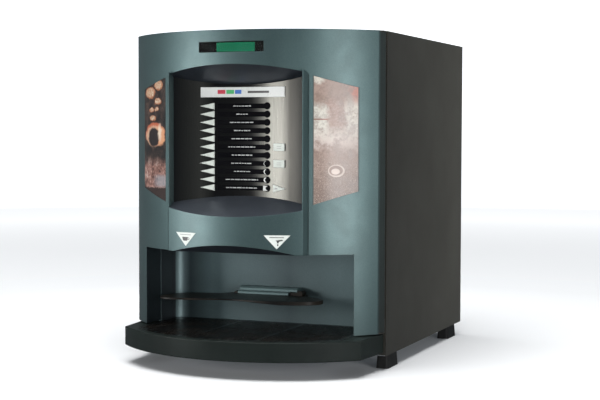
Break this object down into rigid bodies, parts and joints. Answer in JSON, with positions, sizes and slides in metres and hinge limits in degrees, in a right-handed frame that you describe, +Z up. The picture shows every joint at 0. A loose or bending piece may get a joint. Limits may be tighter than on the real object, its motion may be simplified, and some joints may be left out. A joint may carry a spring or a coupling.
{
  "type": "countertop hot beverage vending machine",
  "caption": "Countertop hot-drink vending machine with a bowed hinged door, concave key panel, open cup bay with cup stand, and a bowed drip tray on a dark steel cabinet.",
  "frame": {"origin": "centre of the footprint on the counter, under the feet", "axes": "+Z up; -Y towards the person using the machine; +X to that person's right"},
  "size_m": [0.48, 0.6709, 0.59],
  "materials": {
    "galvanised": "galvanised sheet",
    "cabinet_paint": "dark charcoal satin powder coat",
    "bay_metal": "teal-grey metallic lacquer on sheet",
    "foot_rubber": "moulded black rubber",
    "bracket_metal": "teal-grey metallic lacquer",
    "motor_steel": "zinc-plated gear motor",
    "bowl_plastic": "ivory moulded funnel",
    "boiler_steel": "brushed stainless steel",
    "valve_body": "brass body with black coil",
    "spout_plastic": "black moulded block with hoses",
    "black_plastic": "satin black moulding",
    "fitting_brass": "turned brass",
    "zinc": "bright zinc plate",
    "door_paint": "moulding lacquered in a fine-flake metallic teal-grey",
    "panel_face": "dark brushed overlay on a curved plate",
    "label_black": "black label strip with a light edge",
    "plate_white": "white plate with a plain colour bar",
    "display_window": "clear smoked window",
    "lcd_body": "black display frame with a green screen",
    "poster_print": "printed card under clear film",
    "badge_white": "white sticker with a plain pictogram",
    "circuit_green": "green solder mask with black switches",
    "tray_paint": "satin dark green-grey moulded plastic",
    "gloss_black": "gloss black",
    "canister_clear": "translucent white food-safe plastic",
    "lid_brown": "brown moulded lid",
    "auger_white": "white moulded coil",
    "key_white": "satin white"
  },
  "bodies": {
    "cabinet": {"base_pan": "galvanised", "left_side_panel": "cabinet_paint", "right_side_panel": "cabinet_paint", "top_panel": "cabinet_paint", "rear_panel": "cabinet_paint", "front_frame": "bay_metal", "levelling_feet": "foot_rubber", "bay_liner": "bay_metal", "cup_stand_bracket": "bracket_metal", "canister_shelf": "galvanised", "gear_motors": "motor_steel", "mixing_bowls": "bowl_plastic", "boiler_tank": "boiler_steel", "water_valves": "valve_body", "spout_block": "spout_plastic", "mains_inlet": "black_plastic", "water_inlet_fitting": "fitting_brass", "hinge_brackets": "cabinet_paint", "panel_screws": "zinc"},
    "door": {"door_shell": "door_paint", "door_back_plate": "galvanised", "selection_panel": "panel_face", "label_strips": "label_black", "header_plate": "plate_white", "display_lens": "display_window", "lcd_module": "lcd_body", "side_posters": "poster_print", "pictograms": "badge_white", "keypad_board": "circuit_green", "lock_barrel": "zinc"},
    "lock_cam": {"lock_cam": "zinc"},
    "drip_tray": {"drip_tray": "tray_paint"},
    "drip_grille": {"drip_grille": "gloss_black"},
    "cup_stand": {"cup_stand": "gloss_black"},
    "canister_1": {"canister_1": "canister_clear", "canister_lid_1": "lid_brown"},
    "auger_1": {"auger_1": "auger_white"},
    "impeller_1": {"impeller_1": "auger_white"},
    "canister_2": {"canister_2": "canister_clear", "canister_lid_2": "lid_brown"},
    "auger_2": {"auger_2": "auger_white"},
    "impeller_2": {"impeller_2": "auger_white"},
    "canister_3": {"canister_3": "canister_clear", "canister_lid_3": "lid_brown"},
    "auger_3": {"auger_3": "auger_white"},
    "impeller_3": {"impeller_3": "auger_white"},
    "drink_key_01": {"drink_key_01": "key_white"},
    "drink_key_02": {"drink_key_02": "key_white"},
    "drink_key_03": {"drink_key_03": "key_white"},
    "drink_key_04": {"drink_key_04": "key_white"},
    "drink_key_05": {"drink_key_05": "key_white"},
    "drink_key_06": {"drink_key_06": "key_white"},
    "drink_key_07": {"drink_key_07": "key_white"},
    "drink_key_08": {"drink_key_08": "key_white"},
    "drink_key_09": {"drink_key_09": "key_white"},
    "drink_key_10": {"drink_key_10": "key_white"},
    "drink_key_11": {"drink_key_11": "key_white"},
    "square_key_upper": {"square_key_upper": "key_white"},
    "square_key_lower": {"square_key_lower": "key_white"},
    "arrow_key": {"arrow_key": "key_white"}
  },
  "joints": [
    {"name": "door_hinge", "type": "hinge", "parent": "cabinet", "child": "door", "pos_m": [0.23, -0.159, 0.328], "axis": [0, 0, 1], "range_deg": [0, 105]},
    {"name": "lock_turn", "type": "hinge", "parent": "door", "child": "lock_cam", "pos_m": [-0.21, -0.1695, 0.573], "axis": [0, 0, 1], "range_deg": [0, 85]},
    {"name": "tray_slide", "type": "slide", "parent": "cabinet", "child": "drip_tray", "axis": [0, -1, 0], "range_m": [0, 0.2]},
    {"name": "grille_lift", "type": "slide", "parent": "drip_tray", "child": "drip_grille", "axis": [0, 0, 1], "range_m": [0, 0.04]},
    {"name": "cup_stand_slide", "type": "slide", "parent": "cabinet", "child": "cup_stand", "axis": [0, -1, 0], "range_m": [0, 0.08]},
    {"name": "canister_slide_1", "type": "slide", "parent": "cabinet", "child": "canister_1", "axis": [0, -1, 0], "range_m": [0, 0.11]},
    {"name": "auger_turn_1", "type": "hinge", "parent": "canister_1", "child": "auger_1", "pos_m": [-0.134, 0.1525, 0.3515], "axis": [0, 1, 0], "continuous": true},
    {"name": "impeller_turn_1", "type": "hinge", "parent": "cabinet", "child": "impeller_1", "pos_m": [-0.134, 0.0025, 0.25], "axis": [0, 1, 0], "continuous": true},
    {"name": "canister_slide_2", "type": "slide", "parent": "cabinet", "child": "canister_2", "axis": [0, -1, 0], "range_m": [0, 0.11]},
    {"name": "auger_turn_2", "type": "hinge", "parent": "canister_2", "child": "auger_2", "pos_m": [0, 0.1525, 0.3515], "axis": [0, 1, 0], "continuous": true},
    {"name": "impeller_turn_2", "type": "hinge", "parent": "cabinet", "child": "impeller_2", "pos_m": [0, 0.0025, 0.25], "axis": [0, 1, 0], "continuous": true},
    {"name": "canister_slide_3", "type": "slide", "parent": "cabinet", "child": "canister_3", "axis": [0, -1, 0], "range_m": [0, 0.11]},
    {"name": "auger_turn_3", "type": "hinge", "parent": "canister_3", "child": "auger_3", "pos_m": [0.134, 0.1525, 0.3515], "axis": [0, 1, 0], "continuous": true},
    {"name": "impeller_turn_3", "type": "hinge", "parent": "cabinet", "child": "impeller_3", "pos_m": [0.134, 0.0025, 0.25], "axis": [0, 1, 0], "continuous": true},
    {"name": "drink_key_01_press", "type": "slide", "parent": "door", "child": "drink_key_01", "axis": [0, 1, 0], "range_m": [0, 0.001], "stiffness_N_per_m": 400, "springref_m": -0.0015},
    {"name": "drink_key_02_press", "type": "slide", "parent": "door", "child": "drink_key_02", "axis": [0, 1, 0], "range_m": [0, 0.001], "stiffness_N_per_m": 400, "springref_m": -0.0015},
    {"name": "drink_key_03_press", "type": "slide", "parent": "door", "child": "drink_key_03", "axis": [0, 1, 0], "range_m": [0, 0.001], "stiffness_N_per_m": 400, "springref_m": -0.0015},
    {"name": "drink_key_04_press", "type": "slide", "parent": "door", "child": "drink_key_04", "axis": [0, 1, 0], "range_m": [0, 0.001], "stiffness_N_per_m": 400, "springref_m": -0.0015},
    {"name": "drink_key_05_press", "type": "slide", "parent": "door", "child": "drink_key_05", "axis": [0, 1, 0], "range_m": [0, 0.001], "stiffness_N_per_m": 400, "springref_m": -0.0015},
    {"name": "drink_key_06_press", "type": "slide", "parent": "door", "child": "drink_key_06", "axis": [0, 1, 0], "range_m": [0, 0.001], "stiffness_N_per_m": 400, "springref_m": -0.0015},
    {"name": "drink_key_07_press", "type": "slide", "parent": "door", "child": "drink_key_07", "axis": [0, 1, 0], "range_m": [0, 0.001], "stiffness_N_per_m": 400, "springref_m": -0.0015},
    {"name": "drink_key_08_press", "type": "slide", "parent": "door", "child": "drink_key_08", "axis": [0, 1, 0], "range_m": [0, 0.001], "stiffness_N_per_m": 400, "springref_m": -0.0015},
    {"name": "drink_key_09_press", "type": "slide", "parent": "door", "child": "drink_key_09", "axis": [0, 1, 0], "range_m": [0, 0.001], "stiffness_N_per_m": 400, "springref_m": -0.0015},
    {"name": "drink_key_10_press", "type": "slide", "parent": "door", "child": "drink_key_10", "axis": [0, 1, 0], "range_m": [0, 0.001], "stiffness_N_per_m": 400, "springref_m": -0.0015},
    {"name": "drink_key_11_press", "type": "slide", "parent": "door", "child": "drink_key_11", "axis": [0, 1, 0], "range_m": [0, 0.001], "stiffness_N_per_m": 400, "springref_m": -0.0015},
    {"name": "square_key_upper_press", "type": "slide", "parent": "door", "child": "square_key_upper", "axis": [0, 1, 0], "range_m": [0, 0.001], "stiffness_N_per_m": 400, "springref_m": -0.0015},
    {"name": "square_key_lower_press", "type": "slide", "parent": "door", "child": "square_key_lower", "axis": [0, 1, 0], "range_m": [0, 0.001], "stiffness_N_per_m": 400, "springref_m": -0.0015},
    {"name": "arrow_key_press", "type": "slide", "parent": "door", "child": "arrow_key", "axis": [0, 1, 0], "range_m": [0, 0.001], "stiffness_N_per_m": 400, "springref_m": -0.0015}
  ]
}
